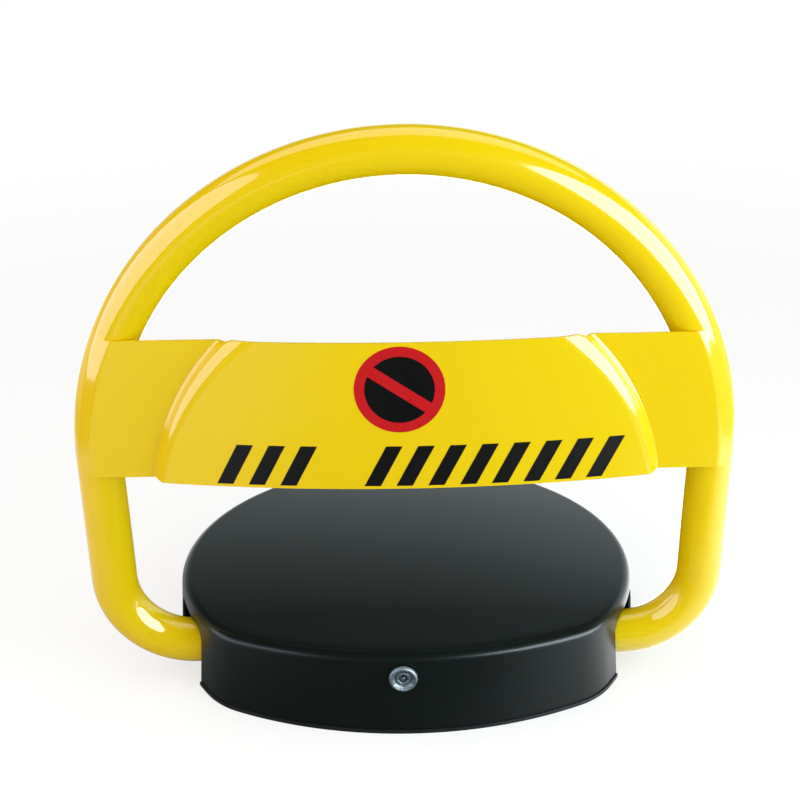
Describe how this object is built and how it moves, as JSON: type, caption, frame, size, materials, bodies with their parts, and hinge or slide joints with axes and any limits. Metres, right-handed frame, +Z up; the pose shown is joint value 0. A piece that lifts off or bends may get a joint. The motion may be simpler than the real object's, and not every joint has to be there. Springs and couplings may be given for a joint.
{
  "type": "folding parking lock",
  "caption": "Ground-mounted parking lock: a motor-driven ring arm with a sign plate stands up or folds back over a low domed cover with a keyed lock.",
  "frame": {"origin": "on the ground at the base plate's underside, straight under the middle of the arm's pivot axis", "axes": "+X to the right along the pivot axis as a driver faces the raised sign, +Y back to where the arm folds, +Z up"},
  "size_m": [0.46, 0.3292, 0.413],
  "materials": {
    "yellow_paint": "gloss powder coat",
    "dark_paint": "satin powder coat",
    "steel": "zinc plated",
    "dark_steel": "primed",
    "bronze": "sintered",
    "copper_wire": "bare",
    "cast_alloy": "as cast",
    "rubber": "matte",
    "black_plastic": "moulded",
    "board_green": "solder mask",
    "lock_chrome": "polished",
    "cell_jacket": "printed sleeve",
    "red_jacket": "cable sheath",
    "grey_jacket": "cable sheath"
  },
  "bodies": {
    "frame": {"base_plate": "dark_steel", "cover": "dark_paint", "left_bearing_block": "dark_steel", "right_bearing_block": "dark_steel", "left_bush": "bronze", "right_bush": "bronze", "gearbox_housing": "cast_alloy", "gearbox_lid": "cast_alloy", "gearbox_screw_1": "steel", "gearbox_screw_2": "steel", "gearbox_screw_3": "steel", "gearbox_screw_4": "steel", "motor_can": "dark_steel", "motor_end_cap": "black_plastic", "motor_clamp": "steel", "stop_block": "dark_steel", "raised_stop_pad": "rubber", "folded_stop_pad": "rubber", "position_sensor": "black_plastic", "left_battery_tray": "black_plastic", "right_battery_tray": "black_plastic", "battery_cell_1": "cell_jacket", "battery_cell_2": "cell_jacket", "battery_cell_3": "cell_jacket", "battery_cell_4": "cell_jacket", "control_box": "black_plastic", "control_box_lid": "black_plastic", "control_box_gasket": "rubber", "circuit_board": "board_green", "buzzer": "black_plastic", "antenna": "copper_wire", "lock_body": "lock_chrome", "lock_nut": "steel", "lock_catch": "steel", "rear_hook": "steel", "motor_cable": "red_jacket", "left_battery_cable": "red_jacket", "right_battery_cable": "red_jacket", "sensor_cable": "grey_jacket"},
    "arm": {"arm_tube": "yellow_paint", "sign_plate": "yellow_paint", "left_end_plug": "dark_steel", "right_end_plug": "dark_steel", "left_arm_bolt": "steel", "right_arm_bolt": "steel", "cross_shaft": "steel", "driven_gear": "steel", "gear_key": "dark_steel", "stop_collar": "steel", "magnet_collar": "cast_alloy", "position_magnet": "lock_chrome"},
    "output_train": {"output_shaft": "steel", "output_pinion": "steel", "worm_wheel": "bronze"},
    "worm_train": {"worm": "steel", "motor_armature": "bronze"},
    "lock_plug": {"lock_cylinder": "lock_chrome", "lock_cam": "steel", "cam_screw": "steel"}
  },
  "joints": [
    {"name": "arm_fold", "type": "hinge", "parent": "frame", "child": "arm", "pos_m": [0, 0, 0.028], "axis": [-1, 0, 0], "range_deg": [0, 90]},
    {"name": "output_spin", "type": "hinge", "parent": "frame", "child": "output_train", "pos_m": [0, 0.03071, 0.038], "axis": [-1, 0, 0], "range_deg": [-198, 0]},
    {"name": "worm_spin", "type": "hinge", "parent": "frame", "child": "worm_train", "pos_m": [0, 0.03071, 0.0177], "axis": [0, 1, 0], "range_deg": [-4752, 0]},
    {"name": "lock_turn", "type": "hinge", "parent": "frame", "child": "lock_plug", "pos_m": [-0.005, -0.07, 0.046], "axis": [0, 1, 0], "range_deg": [0, 90]}
  ],
  "couplings": [
    {"joint": "output_spin", "follows": "arm_fold", "ratio": -2.2},
    {"joint": "worm_spin", "follows": "arm_fold", "ratio": -52.8}
  ]
}
